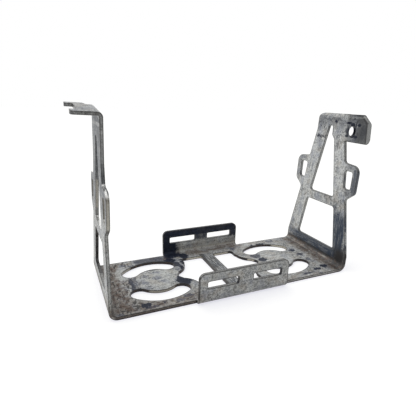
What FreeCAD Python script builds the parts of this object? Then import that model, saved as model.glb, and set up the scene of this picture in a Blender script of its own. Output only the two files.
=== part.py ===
import FreeCAD, Part
import math
import os

# Battery bracket: one sheet, pierced and folded round a small upright battery.
# Origin: centre of the underside of the base. X runs along the battery, Y to the rear, Z up.

Vector = FreeCAD.Vector

# Sheet and the battery that it holds
SHEET = 1.8
BATTERY_LENGTH = 150.0
BATTERY_WIDTH = 65.0
END_CLEARANCE = 1.0
SIDE_CLEARANCE = 0.25

# Inner radii of the folds
ARM_FOLD = 3.0
FLANGE_FOLD = 1.8
LIP_FOLD = 1.8
TAB_FOLD = 0.3
FORK_FOLD = 0.7

# Rings, windows and flanges sit a little nearer the fork end
PATTERN_SHIFT = -1.1

# Pierced rings in the base
RING_SPREAD = 43.0
RING_RADIUS = 24.1
DISC_RADIUS = 13.5
NARROW_NECK_ANGLE = 43.0
WIDE_NECK_ANGLE = 55.0

# Windows beside the middle crossbar of the base
CROSSBAR_WIDTH = 8.5
WINDOW_HALF_WIDTH = 21.4
WINDOW_OUTER_X = 19.3
WINDOW_TIP_X = 29.6
RING_WEB = 7.0
WINDOW_CORNER = 1.6
WINDOW_TIP_ROUND = 1.2

# Strap flanges at the front and rear of the base
FLANGE_LENGTH = 58.0
FLANGE_HEIGHT = 18.9
FLANGE_CORNER = 3.6
SLOT_LENGTH = 19.3
SLOT_HEIGHT = 4.4
SLOT_SPACING = 28.9
SLOT_BOTTOM = 9.5
SLOT_CORNER = 0.9

# Arms: both lean the same way, as the used part does
RIGHT_LEAN = 1.85
LEFT_LEAN = 2.1
ARM_HEIGHT = 102.1
TAPER_START = 10.0
TAPER_END = 91.0
ARM_TOP_HALF_WIDTH = 12.9
ARM_TOP_CORNER = 3.0

# The fork's arm carries its windows and ears lower, and is wider at its top
LEFT_DROP = 4.7
LEFT_TOP_HALF_WIDTH = 14.9

# Lower window of an arm, and the crossbar above it
LOWER_WINDOW_BOTTOM = 11.4
LOWER_WINDOW_BOTTOM_HALF = 19.2
LOWER_WINDOW_TOP_HALF = 13.8
LOWER_WINDOW_CORNER = 1.8
ARM_BAR_BOTTOM = 40.5
ARM_BAR_HEIGHT = 6.4

# Upper window of an arm: on the right arm its front side steps in beside the folded tab
UPPER_WINDOW_HALF = 12.1
UPPER_WINDOW_TOP = 94.3
UPPER_WINDOW_TOP_HALF = 1.8
UPPER_WINDOW_CORNER = 1.8
STEP_BOTTOM = 85.4
STEP_TOP = 88.0
STEP_BOTTOM_HALF = 4.6
STEP_TOP_HALF = 2.3
STEP_CORNER = 1.0

# Strap ears on the legs of an arm
EAR_REACH = 29.4
EAR_ROOT_BOTTOM = 47.6
EAR_ROOT_LENGTH = 24.0
EAR_LOWER_RISE = 5.4
EAR_UPPER_DROP = 1.2
EAR_LOWER_ROUND = 3.6
EAR_UPPER_ROUND = 5.0
EAR_ROOT_ROUND = 2.4
EAR_BORDER = 4.0
EAR_SLOT_FOOT = 7.2
EAR_SLOT_HEAD = 5.0
EAR_SLOT_BOTTOM_WIDTH = 5.6
EAR_SLOT_TOP_WIDTH = 7.0
EAR_SLOT_CORNER = 1.7

# Lip that stiffens the top of the right arm
LIP_LENGTH = 1.6
LIP_FRONT = 10.6

# Bolt tab folded out from the front edge of the right arm
TAB_FACE = 14.2
TAB_BOTTOM = 84.7
TAB_HEIGHT = 17.3
TAB_DROP = 2.6
TAB_REACH = 25.2
TAB_SWEEP = 5.0
TAB_CUT_LENGTH = 9.4
TAB_CUT_HEIGHT = 5.8
TAB_END_SLANT = 1.7
TAB_CUT_ROUND = 2.6
TAB_LOWER_ROUND = 3.4
TAB_HOLE = 6.4
TAB_HOLE_OUT = 3.3
TAB_HOLE_UP = 6.7

# Fork folded out from the top of the left arm
FORK_HEIGHT = 103.0
FORK_TILT = 5.1
FORK_FRONT_REACH = 14.5
FORK_REAR_REACH = 15.5
FORK_FRONT = 15.2
FORK_NECK_REAR = 13.7
FORK_REAR = 20.1
FORK_NECK_END = 4.9
FORK_NECK_SLOPE = 1.3
FORK_NECK_ROUND = 0.8
FORK_SHOULDER_ROUND = 1.0
FORK_NOTCH_FLOOR = 11.4
FORK_NOTCH_FRONT = 8.4
FORK_NOTCH_REAR = 14.7
FORK_NOTCH_CORNER = 1.2
FORK_TIP_ROUND = 0.9
FORK_FRONT_ROUND = 1.8

# Sizes that follow from the ones above
ARM_FACE = BATTERY_LENGTH / 2 + END_CLEARANCE
FLANGE_FACE = BATTERY_WIDTH / 2 + SIDE_CLEARANCE
BASE_HALF_WIDTH = FLANGE_FACE - FLANGE_FOLD
BASE_HALF_LENGTH = ARM_FACE - ARM_FOLD
ARM_FOOT = SHEET + ARM_FOLD
LEG_SLOPE = (BASE_HALF_WIDTH - ARM_TOP_HALF_WIDTH) / (TAPER_END - TAPER_START)
UPPER_WINDOW_BOTTOM = ARM_BAR_BOTTOM + ARM_BAR_HEIGHT
CAP_RADIUS = (RING_RADIUS - DISC_RADIUS) / 2
CAP_ORBIT = (RING_RADIUS + DISC_RADIUS) / 2
EAR_ROOT_TOP = EAR_ROOT_BOTTOM + EAR_ROOT_LENGTH
EAR_SLOT_BOTTOM = EAR_ROOT_BOTTOM + EAR_SLOT_FOOT
EAR_SLOT_TOP = EAR_ROOT_TOP - EAR_SLOT_HEAD
TAB_TOP = TAB_BOTTOM + TAB_HEIGHT
TAB_ROOT = TAB_FACE - SHEET - TAB_FOLD


# Outlines

def rounded_face(corners):
    """Flat face on XY from (x, y, radius) corners, each rounded by an arc tangent to both sides."""
    edges = []
    starts = []
    ends = []
    mids = []
    count = len(corners)
    for index in range(count):
        x, y, radius = corners[index]
        here = Vector(x, y, 0)
        before = Vector(corners[index - 1][0], corners[index - 1][1], 0)
        after = Vector(corners[(index + 1) % count][0], corners[(index + 1) % count][1], 0)
        back = (before - here).normalize()
        ahead = (after - here).normalize()
        half = back.getAngle(ahead) / 2
        inset = radius / math.tan(half)
        bisector = (back + ahead).normalize()
        starts.append(here + back * inset)
        ends.append(here + ahead * inset)
        mids.append(here + bisector * (radius / math.sin(half) - radius))
    for index in range(count):
        if corners[index][2] > 0:
            edges.append(Part.Arc(starts[index], mids[index], ends[index]).toShape())
        following = starts[(index + 1) % count]
        if ends[index].distanceToPoint(following) > 1e-6:
            edges.append(Part.LineSegment(ends[index], following).toShape())
    return Part.Face(Part.Wire(edges))


def both_sides(half_outline):
    """Closed outline from the corners of its +x half, listed from bottom to top."""
    mirrored = [(-x, y, radius) for x, y, radius in reversed(half_outline)]
    return half_outline + mirrored


def sheet_of(face):
    """The flat face as a piece of sheet, its thickness along +Z."""
    return face.extrude(Vector(0, 0, SHEET))


def fold(inner_radius, start, end, angle):
    """Fold about the local X axis: sheet that leaves along +Y from y = 0 and turns up towards +Z."""
    corners = [Vector(start, 0, 0), Vector(end, 0, 0), Vector(end, 0, SHEET), Vector(start, 0, SHEET)]
    section = Part.Face(Part.makePolygon(corners + corners[:1]))
    return section.revolve(Vector(0, 0, SHEET + inner_radius), Vector(1, 0, 0), angle)


# Base plate

def crescent():
    """Opening between the disc and the ring, with full round ends, for the left ring's rear side."""
    start = math.radians(WIDE_NECK_ANGLE)
    end = math.radians(180 - NARROW_NECK_ANGLE)
    middle = (start + end) / 2

    def at(radius, angle, beyond=0.0):
        x = radius * math.cos(angle) - beyond * math.sin(angle)
        y = radius * math.sin(angle) + beyond * math.cos(angle)
        return Vector(x - RING_SPREAD, y, 0)

    outer = Part.Arc(at(RING_RADIUS, start), at(RING_RADIUS, middle), at(RING_RADIUS, end))
    far_cap = Part.Arc(at(RING_RADIUS, end), at(CAP_ORBIT, end, CAP_RADIUS), at(DISC_RADIUS, end))
    inner = Part.Arc(at(DISC_RADIUS, end), at(DISC_RADIUS, middle), at(DISC_RADIUS, start))
    near_cap = Part.Arc(at(DISC_RADIUS, start), at(CAP_ORBIT, start, -CAP_RADIUS), at(RING_RADIUS, start))
    wire = Part.Wire([arc.toShape() for arc in (outer, far_cap, inner, near_cap)])
    return sheet_of(Part.Face(wire))


def middle_window():
    """Window between the crossbar and the left ring: a notch that points at the disc."""
    angle = math.radians(WIDE_NECK_ANGLE)
    cap_x = CAP_ORBIT * math.cos(angle) - RING_SPREAD
    cap_y = CAP_ORBIT * math.sin(angle)
    near = -CROSSBAR_WIDTH / 2
    corners = [
        (near, -WINDOW_HALF_WIDTH, WINDOW_CORNER),
        (near, WINDOW_HALF_WIDTH, WINDOW_CORNER),
        (-WINDOW_OUTER_X, WINDOW_HALF_WIDTH, WINDOW_CORNER),
        (-WINDOW_OUTER_X, cap_y, 0),
        (-WINDOW_TIP_X, 0, WINDOW_TIP_ROUND),
        (-WINDOW_OUTER_X, -cap_y, 0),
        (-WINDOW_OUTER_X, -WINDOW_HALF_WIDTH, WINDOW_CORNER),
    ]
    window = sheet_of(rounded_face(corners))
    for side in (-1, 1):
        web = Part.makeCylinder(CAP_RADIUS + RING_WEB, SHEET, Vector(cap_x, side * cap_y, 0))
        window = window.cut(web)
    return window


def base_plate():
    """Flat base with two pierced rings and two middle windows."""
    plate = Part.makeBox(2 * BASE_HALF_LENGTH, 2 * BASE_HALF_WIDTH, SHEET,
                         Vector(-BASE_HALF_LENGTH, -BASE_HALF_WIDTH, 0))
    rear = crescent()
    left = [rear, rear.mirror(Vector(), Vector(0, 1, 0)), middle_window()]
    right = [opening.mirror(Vector(), Vector(1, 0, 0)) for opening in left]
    for opening in left + right:
        opening.translate(Vector(PATTERN_SHIFT, 0, 0))
    return plate.cut(left + right)


# Strap flanges

def rear_flange():
    """Upright flange with its fold and two strap slots."""
    half = FLANGE_LENGTH / 2
    foot = SHEET + FLANGE_FOLD
    panel = sheet_of(rounded_face([
        (-half, foot, 0),
        (half, foot, 0),
        (half, FLANGE_HEIGHT, FLANGE_CORNER),
        (-half, FLANGE_HEIGHT, FLANGE_CORNER),
    ]))
    for side in (-1, 1):
        near = side * SLOT_SPACING / 2 - SLOT_LENGTH / 2
        far = near + SLOT_LENGTH
        top = SLOT_BOTTOM + SLOT_HEIGHT
        panel = panel.cut(sheet_of(rounded_face([
            (near, SLOT_BOTTOM, SLOT_CORNER),
            (far, SLOT_BOTTOM, SLOT_CORNER),
            (far, top, SLOT_CORNER),
            (near, top, SLOT_CORNER),
        ])))
    panel.rotate(Vector(), Vector(1, 0, 0), 90)
    panel.translate(Vector(0, FLANGE_FACE + SHEET, 0))
    bend = fold(FLANGE_FOLD, -half, half, 90)
    bend.translate(Vector(0, BASE_HALF_WIDTH, 0))
    flange = panel.fuse(bend)
    flange.translate(Vector(PATTERN_SHIFT, 0, 0))
    return flange


# Arms, drawn flat: x across the arm, y up it, z out of its outer face

def leg_edge(height):
    """Half width of the arm at a height on its tapering legs."""
    return BASE_HALF_WIDTH - (height - TAPER_START) * LEG_SLOPE


def lowered(corners, drop):
    """The corners moved down the arm."""
    return [(x, y - drop, radius) for x, y, radius in corners]


def arm_side(top_half_width, drop):
    """Corners of one side of the arm from its foot to its top, its strap ear lowered by drop."""
    taper_end = TAPER_END - (top_half_width - ARM_TOP_HALF_WIDTH) / LEG_SLOPE
    corners = [
        (BASE_HALF_WIDTH, TAPER_START, 0),
        (leg_edge(EAR_ROOT_BOTTOM), EAR_ROOT_BOTTOM, EAR_ROOT_ROUND),
        (EAR_REACH, EAR_ROOT_BOTTOM + EAR_LOWER_RISE, EAR_LOWER_ROUND),
        (EAR_REACH, EAR_ROOT_TOP - EAR_UPPER_DROP, EAR_UPPER_ROUND),
        (leg_edge(EAR_ROOT_TOP), EAR_ROOT_TOP, EAR_ROOT_ROUND),
        (top_half_width, taper_end, 0),
    ]
    return [(BASE_HALF_WIDTH, ARM_FOOT, 0)] + lowered(corners, drop)


def lower_window(drop):
    """Window below the arm's crossbar: its foot stays where it is when the crossbar is lowered."""
    return both_sides([
        (LOWER_WINDOW_BOTTOM_HALF, LOWER_WINDOW_BOTTOM, LOWER_WINDOW_CORNER),
        (LOWER_WINDOW_TOP_HALF, ARM_BAR_BOTTOM - drop, LOWER_WINDOW_CORNER),
    ])


def upper_window():
    """Tall window above the crossbar."""
    return both_sides([
        (UPPER_WINDOW_HALF, UPPER_WINDOW_BOTTOM, UPPER_WINDOW_CORNER),
        (UPPER_WINDOW_TOP_HALF, UPPER_WINDOW_TOP, UPPER_WINDOW_CORNER),
    ])


def stepped_window():
    """The upper window with the step in its front side."""
    step = [
        (-STEP_TOP_HALF, STEP_TOP, STEP_CORNER),
        (-STEP_BOTTOM_HALF, STEP_BOTTOM, STEP_CORNER),
    ]
    plain = upper_window()
    return plain[:3] + step + plain[3:]


def ear_slot(side):
    """Strap slot in an ear, its inner side in line with the leg."""
    outer = EAR_REACH - EAR_BORDER
    corners = [
        (outer - EAR_SLOT_BOTTOM_WIDTH, EAR_SLOT_BOTTOM, EAR_SLOT_CORNER),
        (outer, EAR_SLOT_BOTTOM, EAR_SLOT_CORNER),
        (outer, EAR_SLOT_TOP, EAR_SLOT_CORNER),
        (outer - EAR_SLOT_TOP_WIDTH, EAR_SLOT_TOP, EAR_SLOT_CORNER),
    ]
    return [(side * x, y, radius) for x, y, radius in corners]


def arm_blank(rear_side, top, front_side, tall_window, drop):
    """Flat pierced arm: sides listed from the foot up, the upper edge from rear to front."""
    front = [(-x, y, radius) for x, y, radius in reversed(front_side)]
    blank = sheet_of(rounded_face(rear_side + top + front))
    openings = [lower_window(drop), lowered(tall_window, drop)]
    openings += [lowered(ear_slot(side), drop) for side in (-1, 1)]
    for opening in openings:
        blank = blank.cut(sheet_of(rounded_face(opening)))
    return blank


# Right arm: lip along its top, bolt tab at its front edge

def lip():
    """Short lip folded outwards along the top of the right arm."""
    bend = fold(LIP_FOLD, -LIP_FRONT, ARM_TOP_HALF_WIDTH, 90)
    flat = Part.makeBox(ARM_TOP_HALF_WIDTH + LIP_FRONT, SHEET, LIP_LENGTH,
                        Vector(-LIP_FRONT, LIP_FOLD, SHEET + LIP_FOLD))
    piece = bend.fuse(flat)
    piece.translate(Vector(0, ARM_HEIGHT - SHEET - LIP_FOLD, 0))
    depth = SHEET + LIP_FOLD + LIP_LENGTH
    keep = rounded_face([
        (-LIP_FRONT, STEP_BOTTOM, 0),
        (ARM_TOP_HALF_WIDTH, STEP_BOTTOM, 0),
        (ARM_TOP_HALF_WIDTH, ARM_HEIGHT, ARM_TOP_CORNER),
        (-LIP_FRONT, ARM_HEIGHT, 0),
    ])
    return piece.common(keep.extrude(Vector(0, 0, depth)))


def bolt_tab():
    """Tab folded outwards about an upright line, with a hole for one bolt."""
    bend = fold(TAB_FOLD, TAB_BOTTOM, TAB_TOP, 90 + TAB_SWEEP)
    length = TAB_REACH - SHEET - TAB_FOLD
    flat = sheet_of(rounded_face([
        (TAB_BOTTOM, 0, 0),
        (TAB_TOP, 0, 0),
        (TAB_TOP, length - TAB_CUT_LENGTH, TAB_CUT_ROUND),
        (TAB_TOP - TAB_CUT_HEIGHT, length - TAB_END_SLANT, TAB_CUT_ROUND),
        (TAB_BOTTOM - TAB_DROP, length, TAB_LOWER_ROUND),
    ]))
    hole = Part.makeCylinder(TAB_HOLE / 2, SHEET, Vector(TAB_BOTTOM + TAB_HOLE_UP, TAB_HOLE_OUT, 0))
    flat = flat.cut(hole)
    flat.rotate(Vector(0, 0, SHEET + TAB_FOLD), Vector(1, 0, 0), 90 + TAB_SWEEP)
    piece = bend.fuse(flat)
    piece.rotate(Vector(), Vector(0, 0, 1), 90)
    piece.translate(Vector(-TAB_ROOT, 0, 0))
    return piece


def right_arm():
    """Flat right arm with its lip and bolt tab."""
    shoulder = ARM_HEIGHT - SHEET - LIP_FOLD
    top = [
        (ARM_TOP_HALF_WIDTH, shoulder, 0),
        (-LIP_FRONT, shoulder, 0),
        (-LIP_FRONT, TAB_TOP, 0),
        (-TAB_ROOT, TAB_TOP, 0),
        (-TAB_ROOT, TAB_BOTTOM, 0),
        (-leg_edge(TAB_BOTTOM), TAB_BOTTOM, 0),
    ]
    side = arm_side(ARM_TOP_HALF_WIDTH, 0)
    side_below_tab = side[:-1]
    blank = arm_blank(side, top, side_below_tab, stepped_window(), 0)
    return blank.fuse([lip(), bolt_tab()])


# Left arm: fork along its top, on a slanted fold

def fork():
    """Tab folded outwards with a wide notch in its outer end, on the fold's own line."""
    start = SHEET + FORK_FOLD
    front_end = FORK_FRONT_REACH - start
    rear_end = FORK_REAR_REACH - start
    floor = FORK_NOTCH_FLOOR - start
    shoulder = FORK_NECK_END - start
    bend = fold(FORK_FOLD, -FORK_FRONT, FORK_NECK_REAR, 90)
    flat = sheet_of(rounded_face([
        (-FORK_FRONT, 0, 0),
        (FORK_NECK_REAR, 0, 0),
        (FORK_NECK_REAR, shoulder, FORK_NECK_ROUND),
        (FORK_REAR, shoulder + FORK_NECK_SLOPE, FORK_SHOULDER_ROUND),
        (FORK_REAR, rear_end, FORK_TIP_ROUND),
        (FORK_NOTCH_REAR, rear_end, FORK_TIP_ROUND),
        (FORK_NOTCH_REAR, floor, FORK_NOTCH_CORNER),
        (-FORK_NOTCH_FRONT, floor, FORK_NOTCH_CORNER),
        (-FORK_NOTCH_FRONT, front_end, FORK_TIP_ROUND),
        (-FORK_FRONT, front_end, FORK_FRONT_ROUND),
    ]))
    flat.rotate(Vector(0, 0, start), Vector(1, 0, 0), 90)
    piece = bend.fuse(flat)
    piece.rotate(Vector(), Vector(0, 0, 1), FORK_TILT)
    piece.translate(Vector(0, FORK_HEIGHT - start, 0))
    return piece


def left_arm():
    """Flat left arm with its fork; its upper edge runs along the slanted fold."""
    rise = math.radians(FORK_TILT)
    centre = FORK_HEIGHT - SHEET - FORK_FOLD
    rear_x = FORK_NECK_REAR * math.cos(rise)
    rear_y = centre + FORK_NECK_REAR * math.sin(rise)
    front_x = -FORK_FRONT * math.cos(rise)
    front_y = centre - FORK_FRONT * math.sin(rise)
    shoulder_y = centre + LEFT_TOP_HALF_WIDTH * math.tan(rise)
    top = [(LEFT_TOP_HALF_WIDTH, shoulder_y, 0), (rear_x, rear_y, 0), (front_x, front_y, 0)]
    side = arm_side(LEFT_TOP_HALF_WIDTH, LEFT_DROP)
    return arm_blank(side, top, side, upper_window(), LEFT_DROP).fuse(fork())


# Folding the arms up from the base

def upright(arm, side, lean):
    """Stands a flat arm on the end of the base and leans it about the centre of its fold."""
    turn = FreeCAD.Rotation(Vector(0, 1, 0), Vector(0, 0, 1), Vector(1, 0, 0), "ZXY")
    placed = arm.copy()
    placed.Placement = FreeCAD.Placement(Vector(ARM_FACE, 0, 0), turn)
    if side < 0:
        placed = placed.mirror(Vector(), Vector(1, 0, 0))
    placed.rotate(Vector(side * BASE_HALF_LENGTH, 0, ARM_FOOT), Vector(0, 1, 0), lean)
    return placed


def arm_fold(side, lean):
    """Fold between the base and an arm, a little over or under a right angle."""
    bend = fold(ARM_FOLD, -BASE_HALF_WIDTH, BASE_HALF_WIDTH, 90 - side * lean)
    bend.rotate(Vector(), Vector(0, 0, 1), -side * 90)
    bend.translate(Vector(side * BASE_HALF_LENGTH, 0, 0))
    return bend


def battery_bracket():
    """The whole bracket as one folded sheet."""
    rear = rear_flange()
    pieces = [
        rear,
        rear.mirror(Vector(), Vector(0, 1, 0)),
        arm_fold(-1, LEFT_LEAN),
        arm_fold(1, RIGHT_LEAN),
        upright(left_arm(), -1, LEFT_LEAN),
        upright(right_arm(), 1, RIGHT_LEAN),
    ]
    return base_plate().fuse(pieces).removeSplitter()


os.makedirs("parts", exist_ok=True)
bracket = battery_bracket()
bracket.exportStep("parts/battery_bracket.step")
box = bracket.BoundBox
print("solids", len(bracket.Solids), "valid", bracket.isValid())
print("box", round(box.XMin, 2), round(box.YMin, 2), round(box.ZMin, 2),
      round(box.XMax, 2), round(box.YMax, 2), round(box.ZMax, 2))
print("volume", round(bracket.Volume, 1))
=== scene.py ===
import math

import bpy
import numpy as np
from mathutils import Matrix, Vector

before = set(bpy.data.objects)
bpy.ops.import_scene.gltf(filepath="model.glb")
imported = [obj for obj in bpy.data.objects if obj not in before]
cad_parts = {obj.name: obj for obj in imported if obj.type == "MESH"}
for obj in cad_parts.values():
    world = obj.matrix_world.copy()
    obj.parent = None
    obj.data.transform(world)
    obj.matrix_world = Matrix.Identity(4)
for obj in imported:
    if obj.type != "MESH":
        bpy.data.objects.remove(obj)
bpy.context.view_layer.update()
scene = bpy.context.scene
scene.view_settings.view_transform = "Standard"

# Camera: low, a little to the left of the bracket and close to it, so the near arm is seen
# almost edge on. Its place, turn and lens were fitted to the corners seen in the photograph.
YAW = math.radians(24.37)
PITCH = math.radians(17.30)
ROLL = math.radians(-1.61)
FOCAL_PIXELS = 350.5
PICTURE_PIXELS = 416.0
SENSOR_WIDTH = 36.0
NEAREST_SEEN = 0.01
CAMERA_PLACE = (-0.0963, -0.1884, 0.1088)


def camera_axes(yaw, pitch, roll):
    """Right, down and forward: heading from +Y towards +X by yaw, dipped by pitch, turned by roll."""
    forward = np.array([
        math.sin(yaw) * math.cos(pitch),
        math.cos(yaw) * math.cos(pitch),
        -math.sin(pitch),
    ])
    level_right = np.array([math.cos(yaw), -math.sin(yaw), 0.0])
    level_down = np.cross(forward, level_right)
    right = math.cos(roll) * level_right + math.sin(roll) * level_down
    down = math.cos(roll) * level_down - math.sin(roll) * level_right
    return right, down, forward


camera_data = bpy.data.cameras.new("camera")
camera_data.sensor_width = SENSOR_WIDTH
camera_data.lens = FOCAL_PIXELS / PICTURE_PIXELS * camera_data.sensor_width
camera_data.clip_start = NEAREST_SEEN
camera_data.dof.use_dof = False
camera = bpy.data.objects.new("camera", camera_data)
right, down, forward = camera_axes(YAW, PITCH, ROLL)
placed = np.eye(4)
placed[:3, 0] = right
placed[:3, 1] = -down
placed[:3, 2] = -forward
placed[:3, 3] = CAMERA_PLACE
camera.matrix_world = Matrix(placed.tolist())
scene.collection.objects.link(camera)
scene.camera = camera

# Studio: an even white room, brighter overhead, to the left and behind, dimmer at the front.
# The camera itself sees it plain white.
WHITE = (1.0, 1.0, 1.0, 1.0)
ROOM_LEVEL = 0.76
ROOM_SLOPE = (-0.30, 0.34, 0.16)
SEEN_LEVEL = 1.0


def put(tree, kind, **settings):
    """A new node with its settings."""
    node = tree.nodes.new(kind)
    for name, value in settings.items():
        setattr(node, name, value)
    return node


def feed(tree, socket, value):
    """Links another node's output to the socket, or writes a plain value on it."""
    if isinstance(value, bpy.types.NodeSocket):
        tree.links.new(value, socket)
    else:
        socket.default_value = value


def reckon(tree, operation, first, second=0.0):
    """Result of a Math node on two values."""
    node = put(tree, "ShaderNodeMath", operation=operation)
    feed(tree, node.inputs[0], first)
    feed(tree, node.inputs[1], second)
    return node.outputs[0]


def reckon_vector(tree, operation, *vectors):
    """Outputs of a Vector Math node on the vectors given."""
    node = put(tree, "ShaderNodeVectorMath", operation=operation)
    for socket, vector in zip(node.inputs, vectors):
        feed(tree, socket, vector)
    return node.outputs


def rays(tree, *kinds):
    """1 for rays of the kinds named, 0 for all others."""
    path = put(tree, "ShaderNodeLightPath")
    mask = 0.0
    for kind in kinds:
        mask = reckon(tree, "MAXIMUM", path.outputs[kind], mask)
    return mask


def choose(tree, mask, chosen, otherwise):
    """The one shader where the mask is 1, the other where it is 0."""
    node = put(tree, "ShaderNodeMixShader")
    feed(tree, node.inputs[0], mask)
    feed(tree, node.inputs[1], otherwise)
    feed(tree, node.inputs[2], chosen)
    return node.outputs[0]


def backdrop(strength):
    """White background shader of the room."""
    node = put(room, "ShaderNodeBackground")
    node.inputs["Color"].default_value = WHITE
    feed(room, node.inputs["Strength"], strength)
    return node.outputs[0]


world = bpy.data.worlds.new("studio")
world.use_nodes = True
room = world.node_tree
room.nodes.clear()
heading = put(room, "ShaderNodeTexCoord").outputs["Generated"]
slope = reckon_vector(room, "DOT_PRODUCT", heading, ROOM_SLOPE)["Value"]
lighting = backdrop(reckon(room, "ADD", slope, ROOM_LEVEL))
seen = rays(room, "Is Camera Ray", "Is Transmission Ray")
room_end = put(room, "ShaderNodeOutputWorld")
feed(room, room_end.inputs["Surface"], choose(room, seen, backdrop(SEEN_LEVEL), lighting))
scene.world = world

# Soft lamp: hangs high behind the bracket's left end, so that shadows fall a little forwards
LAMP_PLACE = (-0.35, 0.25, 0.75)
LAMP_TARGET = (0.0, 0.0, 0.03)
LAMP_SIZE = 0.55
LAMP_POWER = 1.0

lamp_data = bpy.data.lights.new("soft lamp", "AREA")
lamp_data.size = LAMP_SIZE
lamp_data.energy = LAMP_POWER
lamp = bpy.data.objects.new("soft lamp", lamp_data)
lamp.location = LAMP_PLACE
lamp_heading = Vector(LAMP_TARGET) - Vector(LAMP_PLACE)
lamp.rotation_euler = lamp_heading.to_track_quat("-Z", "Y").to_euler()
scene.collection.objects.link(lamp)

# Floor: plain white paper. It looks white where nothing shades it, and keeps the soft,
# slightly blue shadow that the bracket casts close to its edges.
FLOOR_REACH = 3.0
FLOOR_DROP = 0.0002
PAPER_GLOW = (0.64, 0.64, 0.72, 1.0)
PAPER_SEEN = (0.47, 0.47, 0.37, 1.0)
PAPER = (0.86, 0.86, 0.87, 1.0)


def plain_shader(kind, colour):
    """Shader of the paper with nothing but a colour."""
    node = put(sheet, kind)
    node.inputs["Color"].default_value = colour
    return node.outputs[0]


corners = [(-FLOOR_REACH, -FLOOR_REACH), (FLOOR_REACH, -FLOOR_REACH),
           (FLOOR_REACH, FLOOR_REACH), (-FLOOR_REACH, FLOOR_REACH)]
floor_mesh = bpy.data.meshes.new("floor")
floor_mesh.from_pydata([(x, y, -FLOOR_DROP) for x, y in corners], [], [(0, 1, 2, 3)])
floor = bpy.data.objects.new("floor", floor_mesh)
scene.collection.objects.link(floor)
paper = bpy.data.materials.new("white paper")
paper.use_nodes = True
sheet = paper.node_tree
sheet.nodes.clear()
glowing = put(sheet, "ShaderNodeAddShader")
feed(sheet, glowing.inputs[0], plain_shader("ShaderNodeEmission", PAPER_GLOW))
feed(sheet, glowing.inputs[1], plain_shader("ShaderNodeBsdfDiffuse", PAPER_SEEN))
lit = plain_shader("ShaderNodeBsdfDiffuse", PAPER)
seen = rays(sheet, "Is Camera Ray", "Is Transmission Ray", "Is Glossy Ray")
paper_end = put(sheet, "ShaderNodeOutputMaterial")
feed(sheet, paper_end.inputs["Surface"], choose(sheet, seen, glowing.outputs[0], lit))
floor.data.materials.append(paper)

# Bracket: one pierced and folded sheet of bare aluminium. Its mill finish has gone dull and
# mottled; acid and oil left navy black stains, dust settled brown in the corners, and the
# sheared edges are rubbed bright. Some colours below also paint light and shade: highlights
# along edges and on the bolt tab, and shade in cut walls, slots, under the right arm's lip,
# low on that arm and along the very bottom of the front. All places below are millimetres in
# the part's own frame.
TO_MILLIMETRES = 1000.0
GLINT = 0.3

# Detail of the cloudy patterns, from round dots to fine dust
SMOOTH = 0.0
PLAIN = 3.0
STREAKY = 4.0
CLOUDY = 5.0
DUSTY = 6.0

# Besides the metal's own tones, the light metal, the tan and the bright edge also serve as painted
# highlights, and the grime, the navy, the deep slate, the slate film and the dull grey also serve as
# painted shade.
LIGHT_METAL_AND_HIGHLIGHT = (0.57, 0.58, 0.565, 1.0)
GREY_METAL = (0.20, 0.205, 0.21, 1.0)
TAN_METAL_AND_HIGHLIGHT = (0.47, 0.44, 0.37, 1.0)
CUT_METAL = (0.26, 0.26, 0.25, 1.0)
HIGHLIGHT_EDGE = (0.92, 0.92, 0.90, 1.0)
COOL_CAST = (0.27, 0.29, 0.35, 1.0)
WARM_CAST = (0.36, 0.32, 0.27, 1.0)
DULL_GREY_AND_SHADE = (0.115, 0.113, 0.098, 1.0)
SLATE_FILM_AND_SHADE = (0.095, 0.105, 0.125, 1.0)
DEEP_SLATE_AND_SHADE = (0.038, 0.053, 0.082, 1.0)
BROWN_DUST = (0.180, 0.146, 0.118, 1.0)
RUST_BROWN = (0.105, 0.062, 0.042, 1.0)
GRIME_AND_SHADE = (0.030, 0.028, 0.028, 1.0)
BLUE_STAIN = (0.085, 0.100, 0.160, 1.0)
NAVY_STAIN_AND_SHADE = (0.009, 0.014, 0.031, 1.0)
BLUE_SPECK = (0.045, 0.065, 0.110, 1.0)

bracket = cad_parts["battery_bracket"]
worn_sheet = bpy.data.materials.new("metal")
worn_sheet.use_nodes = True
finish = worn_sheet.node_tree
shader = finish.nodes["Principled BSDF"]
shader.inputs["Specular IOR Level"].default_value = GLINT


def rise(value, start, end, tree=finish):
    """Smooth step: 0 where the value is at start, 1 where it is at end."""
    node = put(tree, "ShaderNodeMapRange", interpolation_type="SMOOTHSTEP")
    feed(tree, node.inputs["Value"], value)
    feed(tree, node.inputs["From Min"], start)
    feed(tree, node.inputs["From Max"], end)
    return node.outputs["Result"]


def beyond(value, limit):
    """1 where the value is above the limit."""
    return reckon(finish, "GREATER_THAN", value, limit)


def short_of(value, limit):
    """1 where the value is below the limit."""
    return reckon(finish, "LESS_THAN", value, limit)


def unsigned(value):
    """The value without its sign."""
    return reckon(finish, "ABSOLUTE", value)


def plus(first, second):
    """Sum of two values."""
    return reckon(finish, "ADD", first, second)


def times(*masks):
    """Product of masks and shares."""
    product = masks[0]
    for mask in masks[1:]:
        product = reckon(finish, "MULTIPLY", product, mask)
    return product


def highest(*masks):
    """At each point the highest of the masks."""
    top = masks[0]
    for mask in masks[1:]:
        top = reckon(finish, "MAXIMUM", top, mask)
    return top


def less(whole, mask):
    """The whole less the mask."""
    return reckon(finish, "SUBTRACT", whole, mask)


def where(mask, chosen, otherwise):
    """One number where the mask is 1, the other where it is 0. A named pair gives both."""
    node = put(finish, "ShaderNodeMix", data_type="FLOAT")
    feed(finish, node.inputs[0], mask)
    feed(finish, node.inputs[2], otherwise)
    feed(finish, node.inputs[3], chosen)
    return node.outputs[0]


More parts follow.
